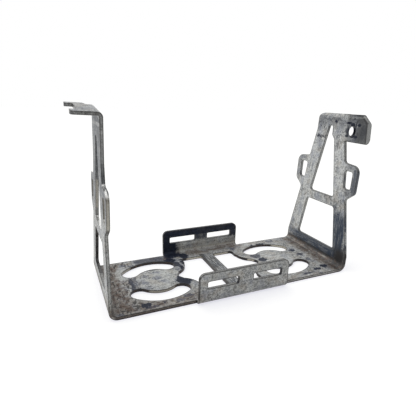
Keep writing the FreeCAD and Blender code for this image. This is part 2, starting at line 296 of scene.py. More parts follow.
def over(under, top, mask):
    """The top colour laid over the one under it where the mask is 1."""
    node = put(finish, "ShaderNodeMix", data_type="RGBA")
    feed(finish, node.inputs[0], mask)
    feed(finish, node.inputs[6], under)
    feed(finish, node.inputs[7], top)
    return node.outputs[2]


def grain(place, fineness, detail=PLAIN, output="Fac"):
    """Cloudy pattern with features about 1 / fineness millimetres wide, finer with more detail."""
    node = put(finish, "ShaderNodeTexNoise")
    feed(finish, node.inputs["Vector"], place)
    node.inputs["Scale"].default_value = fineness
    node.inputs["Detail"].default_value = detail
    return node.outputs[output]


def drawn_out(x_share, y_share, z_share):
    """Place squeezed so that a pattern on it is drawn out along the axis of the smallest share."""
    return reckon_vector(finish, "MULTIPLY", place, (x_share, y_share, z_share))["Vector"]


def parts_of(vector):
    """The three parts of a vector."""
    node = put(finish, "ShaderNodeSeparateXYZ")
    feed(finish, node.inputs[0], vector)
    return node.outputs


# Places on the bracket: the exact ones, and ragged ones, shifted by up to a millimetre or two,
# that give the stains their uneven outlines
RAGGED_FINENESS = 0.5
RAGGED_SHIFT = 6.0
objectwise = put(finish, "ShaderNodeTexCoord").outputs["Object"]
place = reckon_vector(finish, "MULTIPLY", objectwise, (TO_MILLIMETRES,) * 3)["Vector"]
noise = grain(place, RAGGED_FINENESS, output="Color")
shift = reckon_vector(
    finish, "MULTIPLY_ADD", noise, (RAGGED_SHIFT,) * 3, (-RAGGED_SHIFT / 2,) * 3)["Vector"]
ragged_place = reckon_vector(finish, "ADD", place, shift)["Vector"]
x, y, z = parts_of(ragged_place)
true_x, true_y, true_z = parts_of(place)
from_middle = unsigned(x)
from_side = unsigned(y)
far_x = unsigned(true_x)
far_y = unsigned(true_y)

# Zones: the arms stand beyond ARM_X at both ends, the flanges are within FLANGE_X and reach
# out to beyond FLANGE_Y, the fork lies above FORK_Z, and the bolt tab is beyond TAB_X. The
# rear flange's zone and the low one, over the base and its folds, fade out with ragged edges.
BASE_X = 74.0
BASE_TOP = 2.0
CROSSBAR_X = 6.5
CROSSBAR_Y = 24.0
CROSSBAR_TOP = 4.0
ARM_X = 74.5
ARM_FOOT_X = 73.0
ARM_FOOT_Z = 9.0
FLANGE_X = 31.0
FLANGE_Y = 31.0
FORK_X = -75.0
FORK_Z = 101.0
TAB_X = 80.5
TAB_Y = -11.5
TAB_Z = 80.0
on_base = times(short_of(true_z, BASE_TOP), short_of(far_x, BASE_X))
crossbar_zone = times(short_of(far_x, CROSSBAR_X), short_of(far_y, CROSSBAR_Y))
on_crossbar = times(crossbar_zone, short_of(true_z, CROSSBAR_TOP))
on_arms = times(beyond(far_x, ARM_FOOT_X), beyond(true_z, ARM_FOOT_Z))
on_front_flange = times(short_of(true_y, -FLANGE_Y), short_of(far_x, FLANGE_X))
on_rear_flange = rise(y, 30.0, 31.5)
behind_flange = beyond(true_y, -FLANGE_Y)
on_fork = times(beyond(true_z, FORK_Z), short_of(true_x, FORK_X))
on_tab = times(beyond(true_x, TAB_X), short_of(true_y, TAB_Y), beyond(true_z, TAB_Z))
low = rise(z, 9.0, 4.0)

# Where the sheet was cut through: its faces turn away from the side the sheet faces there.
# The base and the fork face up, the arms endways, the flanges and the bolt tab frontways.
# Where the sheet bends, it has no cut faces, so it counts as flat there.
FLAT = 1.0
CUT_START = 0.85
CUT_FULL = 0.6
ARM_FOLD_Z = 5.0
FLANGE_FOLD_Z = 3.6
FLANGE_REACH_X = 30.5
FLANGE_REACH_Y = 31.8
FORK_START_X = -76.0
LIP_X = 75.0
LIP_Y = -10.8
LIP_Z = 97.5
TAB_START_X = 80.9
BEND_OUTER_X = -79.5
BEND_INNER_X = -70.0
BEND_Z = 96.5
BEND_TURN = 0.7
facing = put(finish, "ShaderNodeNewGeometry")
turned = parts_of(facing.outputs["True Normal"])
endways, frontways, upwards = [unsigned(part) for part in turned]
arm_zone = beyond(far_x, ARM_X)
flange_zone = times(short_of(far_x, FLANGE_REACH_X), beyond(far_y, FLANGE_REACH_Y))
fork_zone = times(beyond(true_z, FORK_Z), short_of(true_x, FORK_START_X))
lip_zone = times(beyond(true_z, LIP_Z), beyond(true_x, LIP_X), beyond(true_y, LIP_Y))
tab_zone = times(beyond(true_x, TAB_START_X), short_of(true_y, TAB_Y), beyond(true_z, TAB_Z))
fork_bend = times(beyond(true_x, BEND_OUTER_X), short_of(true_x, BEND_INNER_X), beyond(true_z, BEND_Z))
arm_flatness = where(beyond(true_z, ARM_FOLD_Z), endways, FLAT)
flange_flatness = where(beyond(true_z, FLANGE_FOLD_Z), frontways, FLAT)
flatness = where(arm_zone, arm_flatness, upwards)
flatness = where(flange_zone, flange_flatness, flatness)
flatness = where(fork_zone, upwards, flatness)
flatness = where(lip_zone, FLAT, flatness)
flatness = where(tab_zone, frontways, flatness)
flatness = where(fork_bend, short_of(frontways, BEND_TURN), flatness)
cut = rise(flatness, CUT_START, CUT_FULL)

# Soft patches: a mask that is full in its core and ends a little beyond its half axes
PATCH_CORE = 0.80
PATCH_END = 1.15
PATCH_DEPTH = 3.0
ON_TOP = 1.8
IN_CUT = 1.0


def smudge_group():
    """Mask of a soft patch: 1 inside the ellipsoid about Centre with half axes Reach, 0 outside."""
    group = bpy.data.node_groups.new("smudge", "ShaderNodeTree")
    for name in ("Place", "Centre", "Reach"):
        group.interface.new_socket(name, in_out="INPUT", socket_type="NodeSocketVector")
    group.interface.new_socket("Strength", in_out="INPUT", socket_type="NodeSocketFloat")
    group.interface.new_socket("Mask", in_out="OUTPUT", socket_type="NodeSocketFloat")
    given = put(group, "NodeGroupInput").outputs
    away = reckon_vector(group, "SUBTRACT", given["Place"], given["Centre"])["Vector"]
    scaled = reckon_vector(group, "DIVIDE", away, given["Reach"])["Vector"]
    distance = reckon_vector(group, "LENGTH", scaled)["Value"]
    inside = rise(distance, PATCH_END, PATCH_CORE, tree=group)
    result = put(group, "NodeGroupOutput")
    feed(group, result.inputs["Mask"], reckon(group, "MULTIPLY", inside, given["Strength"]))
    return group


smudge = smudge_group()


def smudges(place, patches):
    """Highest mask of a list of patches, each (centre, half axes, strength)."""
    mask = 0.0
    for centre, reach, strength in patches:
        node = put(finish, "ShaderNodeGroup", node_tree=smudge)
        feed(finish, node.inputs["Place"], place)
        node.inputs["Centre"].default_value = centre
        node.inputs["Reach"].default_value = reach
        node.inputs["Strength"].default_value = strength
        mask = reckon(finish, "MAXIMUM", node.outputs["Mask"], mask)
    return mask


def flat_smudges(place, height, patches):
    """Highest mask of patches at one height, each (x, y, half size in x, in y, strength)."""
    return smudges(place, [
        ((centre_x, centre_y, height), (half_x, half_y, PATCH_DEPTH), strength)
        for centre_x, centre_y, half_x, half_y, strength in patches
    ])


# Mottling in three sizes: broad clouds, blotches of a few millimetres, and fine specks.
# Each pair is the fineness of a pattern and its share.
MIDDLE = 0.5
MOTTLING = ((0.06, 1.0), (0.40, 1.9), (0.95, 3.4))
mottle = MIDDLE
for fineness, share in MOTTLING:
    mottle = plus(mottle, times(less(grain(place, fineness), MIDDLE), share))

# Places that hands and the battery keep bright: the discs, the upper arms and the bare ends
bright_base = flat_smudges(ragged_place, ON_TOP, [
    (-44.0, 0.0, 12.5, 11.5, 0.40),
    (41.5, -1.0, 13.0, 11.5, 0.40),
    (-64.0, 14.0, 4.5, 9.0, 0.55),
    (50.0, 27.0, 18.0, 2.5, 0.25),
    (67.0, 5.0, 4.0, 16.0, 0.30),
])
bright_arm = smudges(ragged_place, [
    ((77.5, 17.0, 60.0), (3.0, 11.0, 32.0), 0.35),
    ((76.5, 24.0, 24.0), (3.0, 7.0, 15.0), 0.35),
    ((77.5, -13.0, 66.0), (3.0, 6.0, 22.0), 0.40),
])
colour = over(GREY_METAL, LIGHT_METAL_AND_HIGHLIGHT, plus(mottle, highest(bright_base, bright_arm)))

# The grey is a little cooler in places and a little warmer in others
CAST_FINENESS = 0.17
COOL_SHARE = 0.45
WARM_SHARE = 0.40
cast = grain(place, CAST_FINENESS, CLOUDY)
colour = over(colour, COOL_CAST, times(rise(cast, 0.52, 0.62), COOL_SHARE))
colour = over(colour, WARM_CAST, times(rise(cast, 0.48, 0.38), WARM_SHARE))

# Scratches: along the base where the battery slides, up the arms, and across the folds
SCRATCH_FINENESS = 0.7
FLANGE_FINENESS = 0.6
SCRATCH_SHARE = 0.5
GRIMY_SCRATCH_SHARE = 0.55
CUT_SHARE = 0.7
base_scratch = grain(drawn_out(0.22, 1.9, 0.5), SCRATCH_FINENESS, CLOUDY)
arm_scratch = grain(drawn_out(1.5, 1.5, 0.14), SCRATCH_FINENESS, STREAKY)
fold_scratch = grain(drawn_out(1.6, 0.16, 1.6), SCRATCH_FINENESS, STREAKY)
flange_scratch = grain(drawn_out(0.14, 1.6, 1.6), FLANGE_FINENESS, STREAKY)
colour = over(colour, LIGHT_METAL_AND_HIGHLIGHT, times(rise(base_scratch, 0.52, 0.66), on_base, SCRATCH_SHARE))
colour = over(colour, GRIME_AND_SHADE, times(rise(base_scratch, 0.46, 0.32), on_base, GRIMY_SCRATCH_SHARE))
colour = over(colour, LIGHT_METAL_AND_HIGHLIGHT, times(rise(arm_scratch, 0.50, 0.64), on_arms, SCRATCH_SHARE))
colour = over(colour, DEEP_SLATE_AND_SHADE, times(rise(arm_scratch, 0.44, 0.30), on_arms, SCRATCH_SHARE))
colour = over(colour, CUT_METAL, times(cut, CUT_SHARE))

# Slate film: the dull dark grey cast of the fork's arm, the front ear of the right arm and the
# crossbar of the base. Over the bolt tab it is film with painted shade that deepens towards the
# tab's outer end, and over the top of its arm it is film with a painted shadow under the lip.
# Each pair of shares is for where the film is thick and where it is thin.
FILM_FINENESS = 0.16
TAB_FILM_AND_SHADE = (1.0, 0.82)
TAB_LEAST = 0.72
TOP_FILM_AND_SHADOW = (0.62, 0.42)
LEFT_FILM = (0.75, 0.45)
FORK_FILM = (0.25, 0.10)
CROSSBAR_FILM = (0.70, 0.45)
CROSSBAR_FILM_X = 5.6
hazy = rise(grain(place, FILM_FINENESS, CLOUDY), 0.36, 0.60)
# Bolt tab: painted shade, darker towards its outer end, over a film that covers all of it
outer_tab_shade = times(rise(true_x, 81.0, 88.0), where(hazy, *TAB_FILM_AND_SHADE))
tab_film_and_shade = times(on_tab, highest(outer_tab_shade, TAB_LEAST))
# Top of the right arm: film with a painted shadow that darkens up to the lip
under_lip = rise(true_z, FORK_Z, 99.5)
top_film_and_shadow = times(rise(x, 70.0, 74.0), rise(z, 88.0, 96.0), under_lip, where(hazy, *TOP_FILM_AND_SHADOW))
left_arm = times(rise(x, -72.0, -74.0), rise(true_z, FORK_Z, 98.0))
left_film = times(left_arm, rise(z, 40.0, 60.0), where(hazy, *LEFT_FILM))
fork_film = times(on_fork, where(hazy, *FORK_FILM))
crossbar = times(short_of(from_middle, CROSSBAR_FILM_X), short_of(from_side, CROSSBAR_Y))
crossbar_film = times(crossbar, short_of(z, CROSSBAR_TOP), where(hazy, *CROSSBAR_FILM))
ear_film = smudges(ragged_place, [
    ((78.0, -28.5, 60.0), (4.0, 3.4, 9.5), 1.0),
    ((78.0, -24.0, 52.5), (4.0, 4.0, 2.8), 0.55),
    ((78.0, -24.0, 69.5), (4.0, 4.0, 2.0), 0.50),
    ((78.0, -20.3, 62.0), (4.0, 1.2, 6.0), 0.75),
    ((78.0, 27.0, 61.0), (4.0, 3.0, 9.0), 0.28),
    ((78.0, 24.0, 56.6), (4.0, 2.6, 1.6), 0.65),
    ((78.0, 23.0, 69.0), (4.0, 3.6, 1.6), 0.50),
])
film_and_shade = highest(tab_film_and_shade, top_film_and_shadow, left_film, fork_film, ear_film, crossbar_film)
colour = over(colour, SLATE_FILM_AND_SHADE, film_and_shade)

# Dull grey over the front flange, and painted shade over the outer half of the bolt tab
FLANGE_DULLNESS = (0.32, 0.12)
FLANGE_BOTTOM = 1.0
TAB_END_SHADE = 0.45
flange_dullness = times(on_front_flange, beyond(true_z, FLANGE_BOTTOM), where(hazy, *FLANGE_DULLNESS))
colour = over(colour, DULL_GREY_AND_SHADE, flange_dullness)
colour = over(colour, DULL_GREY_AND_SHADE, times(on_tab, rise(true_x, 86.0, 91.0), TAB_END_SHADE))

# Streaks across the crossbar, with a dark line along its left side
LIGHT_STREAKS = 0.7
DARK_STREAKS = 0.75
CROSSBAR_LINE = 0.8
light_streaks = times(on_crossbar, rise(fold_scratch, 0.50, 0.62), LIGHT_STREAKS)
colour = over(colour, LIGHT_METAL_AND_HIGHLIGHT, light_streaks)
colour = over(colour, GRIME_AND_SHADE, times(on_crossbar, rise(fold_scratch, 0.47, 0.36), DARK_STREAKS))
colour = over(colour, GRIME_AND_SHADE, times(on_crossbar, rise(true_x, -3.4, -4.4), CROSSBAR_LINE))

# Deep slate: over the foot of the right arm, film with painted shade low on the arm, and film over the
# lower half of its front leg
FOOT_FILM_AND_SHADE = (0.97, 0.22)
WORN_FOOT = (0.72, 1.0)
WORN_LEG = (0.74, 1.0)
right_foot = times(rise(x, 70.0, 74.0), rise(true_z, 12.6, 10.5))
foot_depth = where(rise(y, 32.0, 18.0), *FOOT_FILM_AND_SHADE)
foot_film_and_shade = times(right_foot, foot_depth, where(rise(fold_scratch, 0.42, 0.60), *WORN_FOOT))
front_leg = times(rise(x, 69.0, 74.0), rise(y, -8.0, -17.0), rise(z, 43.0, 33.0))
leg_film = times(front_leg, where(rise(arm_scratch, 0.42, 0.62), *WORN_LEG))
colour = over(colour, DEEP_SLATE_AND_SHADE, highest(foot_film_and_shade, leg_film))
leg_shine = smudges(ragged_place, [
    ((77.0, -28.0, 23.0), (3.0, 1.0, 12.0), 0.55),
    ((77.0, -30.0, 10.0), (3.0, 0.9, 5.0), 0.45),
])
colour = over(colour, LIGHT_METAL_AND_HIGHLIGHT, leg_shine)

# Rim of the bolt tab: a painted highlight along its outer end and cut corner, with a dark line inside
END_LEAN = 0.085
CORNER_X = 0.612
CORNER_Z = 0.791
RIM_LINE = 0.6
TAB_RIM_HIGHLIGHT_SHARE = 0.48
toward_end = plus(true_x, times(true_z, END_LEAN))
toward_corner = plus(times(true_x, CORNER_X), times(true_z, CORNER_Z))
rim_line = highest(rise(toward_end, 104.5, 105.9), rise(toward_corner, 134.4, 135.3))
tab_rim_highlight = highest(rise(toward_end, 106.2, 107.0), rise(toward_corner, 136.0, 136.6))
colour = over(colour, GRIME_AND_SHADE, times(on_tab, rim_line, RIM_LINE))
colour = over(colour, LIGHT_METAL_AND_HIGHLIGHT, times(on_tab, tab_rim_highlight, TAB_RIM_HIGHLIGHT_SHARE))
# More painted highlights on the bolt tab: strokes on its face and one just under its top edge
tab_highlights = smudges(place, [
    ((82.0, -13.6, 86.4), (4.0, 3.0, 1.0), 0.35),
    ((88.6, -13.4, 94.6), (0.5, 3.0, 1.6), 0.55),
    ((88.0, -13.4, 99.6), (9.0, 3.0, 0.7), 0.30),
    ((86.4, -13.4, 93.0), (0.4, 3.0, 4.5), 0.35),
])
colour = over(colour, LIGHT_METAL_AND_HIGHLIGHT, tab_highlights)

# Brown dust: in the folds at both ends, along the rear fold and over the front strip. The
# scoured patch inside the left fold is kept clear of it.
DUST_FINENESS = 0.24
END_DUST = 0.80
LEFT_DUST = 0.85
SIDE_DUST = 0.60
STRIP_DUST = (0.80, 0.30)
RIGHT_DUST = (0.80, 0.45)
patchy = rise(grain(place, DUST_FINENESS, DUSTY), 0.42, 0.58)
scoured = flat_smudges(ragged_place, ON_TOP, [(-62.5, 14.0, 4.5, 9.5, 1.0)])
unscoured = less(1.0, scoured)
front_strip = times(rise(y, -19.0, -24.0), rise(x, -20.0, -30.0), low)
right_fold = times(rise(x, 64.0, 72.0), rise(z, 6.0, 3.5))
dust = highest(
    times(rise(x, -62.0, -71.0), low, END_DUST),
    times(rise(x, -50.0, -66.0), low, patchy, unscoured, LEFT_DUST),
    times(rise(from_side, 20.0, 29.0), low, patchy, behind_flange, SIDE_DUST),
    times(front_strip, where(patchy, *STRIP_DUST)),
    times(right_fold, where(patchy, *RIGHT_DUST)),
)
colour = over(colour, BROWN_DUST, dust)

# Rear fold: rubbed along the flange, with a tan line over a brown one where the sheet turns up
REAR_SHINE = 0.42
REAR_FOLD_Y = 27.0
REAR_FLANGE_Y = 30.5
FOLD_LINE = (0.85, 0.5)
FOLD_SHADE = (0.75, 0.3)
rear_side = times(beyond(true_y, REAR_FLANGE_Y), short_of(far_x, FLANGE_X))
rear_shine = times(rear_side, rise(flange_scratch, 0.46, 0.60), rise(z, 10.0, 8.0), REAR_SHINE)
by_rear_fold = times(beyond(true_y, REAR_FOLD_Y), short_of(far_x, FLANGE_X))
fold_line = times(by_rear_fold, rise(true_z, 2.6, 3.1), rise(true_z, 4.4, 3.9))
fold_shade = times(by_rear_fold, rise(true_z, 1.7, 1.9), rise(true_z, 2.9, 2.5))
colour = over(colour, LIGHT_METAL_AND_HIGHLIGHT, rear_shine)
colour = over(colour, TAN_METAL_AND_HIGHLIGHT, times(fold_line, where(patchy, *FOLD_LINE)))
colour = over(colour, RUST_BROWN, times(fold_shade, where(patchy, *FOLD_SHADE)))

# Bare flecks where the dust has been brushed off
FLECK_FINENESS = 0.62
FLECK_SHARE = 0.50
flecks = rise(grain(drawn_out(0.8, 0.45, 0.8), FLECK_FINENESS), 0.52, 0.60)
colour = over(colour, LIGHT_METAL_AND_HIGHLIGHT, times(dust, flecks, FLECK_SHARE))

# Near-black grime, in the folds at the two ends and where the dust is thickest
PEPPER_FINENESS = 0.75
FOLD_GRIME = (0.80, 0.05)
ROOT_GRIME = 0.8
LEFT_PEPPER = (0.20, 0.85)
RIGHT_PEPPER = 0.45
FRONT_PEPPER = 0.85
FOLD_LIGHT = 0.55
SCOURED_LIGHT = (0.30, 0.45)
pepper_grain = grain(drawn_out(1.0, 0.40, 1.0), PEPPER_FINENESS)
front_grain = grain(drawn_out(0.40, 1.0, 1.0), PEPPER_FINENESS)
fold_streaks = where(rise(fold_scratch, 0.56, 0.42), *FOLD_GRIME)
fold_grime = times(rise(from_middle, 70.0, 74.0), rise(z, 8.0, 3.0), fold_streaks)
root = times(rise(x, 74.3, 75.0), rise(true_z, 6.4, 5.4), rise(true_z, 3.2, 4.2))
front_corner = times(rise(x, 68.0, 74.0), rise(y, -17.0, -25.0), rise(z, 18.0, 10.0))
left_strip = times(low, rise(x, -44.0, -62.0), behind_flange)
left_pepper = times(rise(pepper_grain, 0.53, 0.60), left_strip, where(scoured, *LEFT_PEPPER))
right_pepper = times(rise(pepper_grain, 0.58, 0.66), low, rise(x, 40.0, 60.0), RIGHT_PEPPER)
front_edge = times(low, rise(y, -18.0, -23.0), rise(x, 0.0, -20.0), behind_flange)
front_pepper = times(rise(front_grain, 0.52, 0.60), front_edge, FRONT_PEPPER)
pepper = highest(left_pepper, right_pepper, front_pepper)
right_end_fold = times(rise(x, 70.0, 72.0), rise(z, 5.5, 4.0))
fold_light = times(right_end_fold, rise(fold_scratch, 0.54, 0.66), FOLD_LIGHT)
colour = over(colour, TAN_METAL_AND_HIGHLIGHT, fold_light)
colour = over(colour, GRIME_AND_SHADE, highest(fold_grime, times(root, ROOT_GRIME), front_corner, pepper))
colour = over(colour, LIGHT_METAL_AND_HIGHLIGHT, times(scoured, where(patchy, *SCOURED_LIGHT)))

# Navy black stains on the base, round the rings, with paler blue borders
BLUE_SHARE = 0.85
base_stains = flat_smudges(ragged_place, ON_TOP, [
    (-42.0, 27.5, 12.0, 5.5, 0.72),
    (-29.0, 22.0, 4.0, 4.5, 1.0),
    (-17.5, 25.0, 3.2, 5.0, 1.0),
    (-21.0, 16.0, 2.0, 5.5, 0.95),
    (-24.3, 8.0, 1.8, 4.5, 0.9),
    (-27.0, 3.5, 1.6, 3.0, 0.75),
    (-26.5, 12.0, 3.4, 8.0, 0.45),
    (-29.0, -6.5, 5.4, 6.0, 1.0),
    (-30.0, -12.0, 3.2, 2.8, 1.0),
    (-59.5, -1.0, 1.5, 8.0, 0.70),
    (-57.0, 2.0, 0.9, 8.0, 0.60),
    (-58.5, -7.8, 3.2, 1.4, 0.90),
    (-52.0, -9.5, 3.2, 1.0, 0.60),
    (-44.0, 1.5, 3.6, 2.4, 0.50),
    (-50.5, 5.5, 3.0, 1.6, 0.52),
    (-41.0, -3.0, 3.0, 1.6, 0.38),
    (-51.5, -2.5, 2.6, 2.0, 0.50),
    (-44.5, 8.5, 3.4, 0.9, 0.45),
    (-57.5, -26.0, 2.8, 2.6, 1.0),
    (-54.0, -28.5, 3.0, 1.2, 0.60),
    (-47.0, -25.7, 1.5, 1.1, 0.80),
    (-38.5, -27.3, 3.2, 1.6, 0.55),
    (-32.5, -24.4, 3.4, 1.8, 0.60),
    (-72.0, -31.0, 3.0, 2.5, 0.60),
    (-61.0, 24.5, 2.2, 1.8, 0.55),
    (-55.5, 22.6, 2.0, 1.2, 0.70),
    (21.0, 25.0, 2.2, 2.8, 0.60),
    (26.5, 26.5, 2.0, 1.6, 0.50),
    (38.0, 24.6, 2.8, 1.3, 0.85),
    (45.5, 24.2, 3.8, 1.8, 1.0),
    (56.0, 27.0, 3.2, 2.4, 0.60),
    (64.0, 26.5, 3.0, 2.0, 0.40),
    (70.0, 31.0, 5.0, 1.2, 0.60),
    (31.0, 8.0, 4.4, 4.2, 0.68),
    (32.5, 0.5, 4.0, 3.2, 0.82),
    (29.5, 11.0, 2.0, 2.0, 0.85),
    (42.0, 4.5, 3.6, 1.0, 0.35),
    (62.0, 6.5, 2.6, 2.2, 0.80),
    (63.0, -1.5, 3.0, 2.4, 0.75),
    (57.0, 14.0, 4.0, 1.2, 0.35),
    (66.5, -23.0, 2.9, 2.6, 0.95),
    (60.0, -24.5, 3.6, 2.0, 0.85),
    (50.0, -27.5, 5.5, 0.8, 0.75),
    (58.0, -30.0, 1.5, 0.9, 0.75),
    (40.0, -29.5, 1.6, 0.8, 0.60),
    (64.0, -10.5, 1.2, 3.0, 0.60),
])
flange_foot_stain = smudges(ragged_place, [((-25.0, 29.0, ON_TOP), (7.0, 3.5, 4.0), 1.0)])
base_stains = highest(base_stains, flange_foot_stain)
colour = over(colour, BLUE_STAIN, times(base_stains, BLUE_SHARE))

# Rust-brown clouds near both folds, on the front strip and behind the left ring
RUST_FINENESS = 0.30
LEFT_RUST = 0.60
FRONT_RUST = 0.35
RIGHT_RUST = 0.50
rust_clouds = rise(grain(place, RUST_FINENESS, CLOUDY), 0.44, 0.58)
left_rust = times(rise(x, -61.0, -67.0), rise(x, -76.0, -73.0), low, unscoured, LEFT_RUST)
front_rust = times(rise(y, -20.0, -25.0), rise(x, -22.0, -32.0), low, behind_flange, FRONT_RUST)
right_rust = times(rise(x, 67.0, 71.0), rise(z, 6.0, 4.0), RIGHT_RUST)
rust_patches = flat_smudges(ragged_place, ON_TOP, [
    (-37.0, 27.0, 11.0, 3.6, 0.60),
    (-70.0, 20.0, 1.6, 7.0, 0.60),
    (-47.0, -29.0, 9.0, 2.0, 0.35),
])
rust_stain = times(rust_clouds, highest(left_rust, front_rust, right_rust, rust_patches))
colour = over(colour, RUST_BROWN, rust_stain)

# The rear flange is stained nearly black along its top and over its left end
TOP_STAIN = (1.0, 0.95)
MID_STAIN = (0.85, 0.55)
RIGHT_STAIN = 0.93
mid_flange = times(rise(z, 9.0, 11.0), rise(x, -9.5, -7.5), rise(x, 4.5, 3.0))
flange_stains = times(on_rear_flange, highest(
    times(rise(true_z, 12.8, 14.2), where(hazy, *TOP_STAIN)),
    rise(x, -17.0, -21.5),
    times(rise(x, 21.0, 22.5), rise(z, 7.5, 9.5), RIGHT_STAIN),
    times(mid_flange, where(hazy, *MID_STAIN)),
))

# Dark spots on the right arm and round the hole of its bolt tab; painted shade, black, on the cut
# walls at the ends of the slots and inside the tab's hole
arm_stains = smudges(ragged_place, [
    ((78.5, 8.0, 86.3), (3.5, 5.0, 0.8), 0.6),
    ((78.5, 10.5, 86.3), (3.5, 2.0, 1.1), 0.9),
    ((78.5, 5.5, 86.1), (3.5, 1.6, 1.0), 0.85),
    ((78.9, -1.0, 98.3), (3.5, 8.0, 0.9), 0.5),
    ((78.0, -8.0, 82.0), (3.5, 0.8, 4.0), 0.3),
    ((76.6, 16.0, 18.0), (3.0, 1.0, 6.0), 0.4),
    ((76.6, 29.0, 12.5), (3.0, 1.6, 3.0), 0.3),
    ((77.5, -14.5, 40.0), (3.0, 2.5, 1.5), 0.6),
    ((76.8, -19.0, 36.5), (3.0, 1.3, 0.8), 0.8),
])
tab_stains = smudges(place, [
    ((78.8, -4.2, 96.8), (2.0, 1.3, 0.9), 1.0),
    ((90.3, -13.2, 94.8), (1.9, 3.0, 1.0), 1.0),
    ((88.3, -13.2, 87.2), (1.6, 3.0, 1.0), 1.0),
    ((85.2, -13.6, 98.9), (0.8, 3.0, 0.7), 0.8),
    ((87.7, -13.2, 95.2), (0.6, 3.0, 1.6), 0.8),
    ((85.0, -13.6, 88.2), (2.6, 3.0, 1.5), 1.0),
    ((80.0, -13.8, 88.3), (1.1, 3.0, 0.9), 0.85),
    ((81.0, -13.8, 96.4), (2.0, 3.0, 0.7), 1.0),
    ((84.2, -13.6, 95.2), (2.2, 3.0, 1.2), 1.0),
    ((85.9, -13.6, 91.5), (1.1, 3.0, 4.0), 1.0),
    ((79.6, -13.8, 91.5), (0.6, 3.0, 1.6), 0.7),
    ((90.0, -13.4, 100.9), (4.0, 3.0, 0.6), 0.6),
    ((95.0, -13.0, 90.0), (3.0, 3.0, 5.0), 0.30),
])
# Painted shade: black on the cut walls at the ends of the front flange's slots and in the tab's hole
slot_shade = times(cut, smudges(place, [
    ((-5.9, -33.6, 11.7), (1.6, 2.0, 3.4), 1.0),
    ((23.0, -33.6, 11.7), (1.6, 2.0, 3.4), 1.0),
    ((84.3, -13.0, 91.1), (5.0, 4.0, 5.0), 1.0),
]))

# Dark arc along the lip of the left ring, on its rear side
RING_CENTRE = (-43.0, 0.0, 1.8)
LIP_SHARE = 0.85
from_ring = reckon_vector(finish, "DISTANCE", place, RING_CENTRE)["Value"]
rear_arc = times(beyond(true_x, -60.0), beyond(true_y, 12.0), short_of(true_x, -24.0))
ring_lip = times(rise(from_ring, 26.2, 24.9), rise(x, -55.0, -51.0), rear_arc, LIP_SHARE)

# All the navy stains together with the painted shade in the slots, finely broken up on the base and
# specked blue on the flange
STAIN_FINENESS = 0.8
STAIN_BREAKS = (1.0, 0.88)
SPECK_FINENESS = 0.9
SPECK_SHARE = 0.28
broken = where(rise(grain(place, STAIN_FINENESS), 0.40, 0.52), *STAIN_BREAKS)
navy_cores = times(rise(base_stains, 0.42, 0.92), broken)
stain_and_slot_shade = highest(navy_cores, flange_stains, arm_stains, tab_stains, slot_shade, ring_lip)
specks = rise(grain(drawn_out(0.5, 1.0, 1.0), SPECK_FINENESS, STREAKY), 0.52, 0.64)
colour = over(colour, NAVY_STAIN_AND_SHADE, stain_and_slot_shade)
colour = over(colour, BLUE_SPECK, times(on_rear_flange, specks, stain_and_slot_shade, SPECK_SHARE))

# Pits: dark dots in two sizes, strewn in fields over the whole sheet. Each entry is the
# fineness of the dots, the level at which a dot is full, the fineness of the fields, the
# levels at which a field starts and is full, and the share.
DOT_LEVEL = 0.66
PITS = (
    (1.3, 0.74, 0.10, 0.40, 0.52, 0.80),
    (2.4, 0.76, 0.18, 0.38, 0.55, 0.75),
)
for dot_fineness, dot_full, field_fineness, field_start, field_full, share in PITS:
    dots = rise(grain(place, dot_fineness, SMOOTH), DOT_LEVEL, dot_full)
    fields = rise(grain(place, field_fineness), field_start, field_full)
    colour = over(colour, GRIME_AND_SHADE, times(dots, fields, share))

# Sheared edges: a dark line of dirt runs along each, and a lighter band lies beside it, partly
# rubbed metal and partly a painted highlight. The widths are in metres, as the bevel takes them.
EDGE_WIDTH = 0.0014
EDGE_SAMPLES = 6
RIM_WIDTH = 0.0030
RIM_SAMPLES = 4


def agreement(width, samples):
    """1 on open faces, less within the width of an edge."""
    rounded = put(finish, "ShaderNodeBevel", samples=samples)
    rounded.inputs["Radius"].default_value = width
    return reckon_vector(
        finish, "DOT_PRODUCT", rounded.outputs[0], facing.outputs["Normal"])["Value"]


edge = rise(agreement(EDGE_WIDTH, EDGE_SAMPLES), 0.99, 0.92)
rim_band = times(rise(agreement(RIM_WIDTH, RIM_SAMPLES), 0.998, 0.97), less(1.0, cut))

# Cut faces of the base: near black round the rings, painted shade with rust spots in it, and tan
# stretches that are partly rubbed metal and partly painted highlight; grimy along the outside,
# and lighter to the right of the front flange
worn_and_highlit_cut = flat_smudges(place, IN_CUT, [
    (-11.0, 20.5, 6.0, 3.0, 0.9),
    (10.0, 20.5, 6.0, 3.0, 0.9),
    (58.0, 16.0, 9.0, 6.0, 0.95),
    (24.0, 3.0, 3.0, 3.0, 0.85),
    (-44.0, -13.0, 11.0, 3.0, 0.55),
    (-59.0, 17.0, 4.5, 5.0, 0.70),
])
RUST_SPOT_FINENESS = 0.5
OUTER_CUT_X = 70.0
OUTER_CUT_Y = 30.0
CUT_DUST = (0.30, 0.75)
RING_CUT_SHADE = 0.97
RING_RUST = 0.6
FRONT_GRIME = (0.35, 1.0)
OUTER_GRIME = (0.05, 0.50)
RIGHT_FRONT_LIGHT = (0.45, 0.20)
low_cut = times(cut, short_of(true_z, BASE_TOP))
outer_cut = highest(beyond(far_y, OUTER_CUT_Y), beyond(far_x, OUTER_CUT_X))
ring_cut = times(low_cut, less(1.0, outer_cut))
right_front_cut = times(low_cut, beyond(true_x, FLANGE_X), short_of(true_y, -OUTER_CUT_Y))
rust = rise(grain(place, RUST_SPOT_FINENESS), 0.52, 0.62)
outer_grime = times(where(right_front_cut, *FRONT_GRIME), where(rust, *OUTER_GRIME))
colour = over(colour, BROWN_DUST, times(low_cut, where(right_front_cut, *CUT_DUST)))
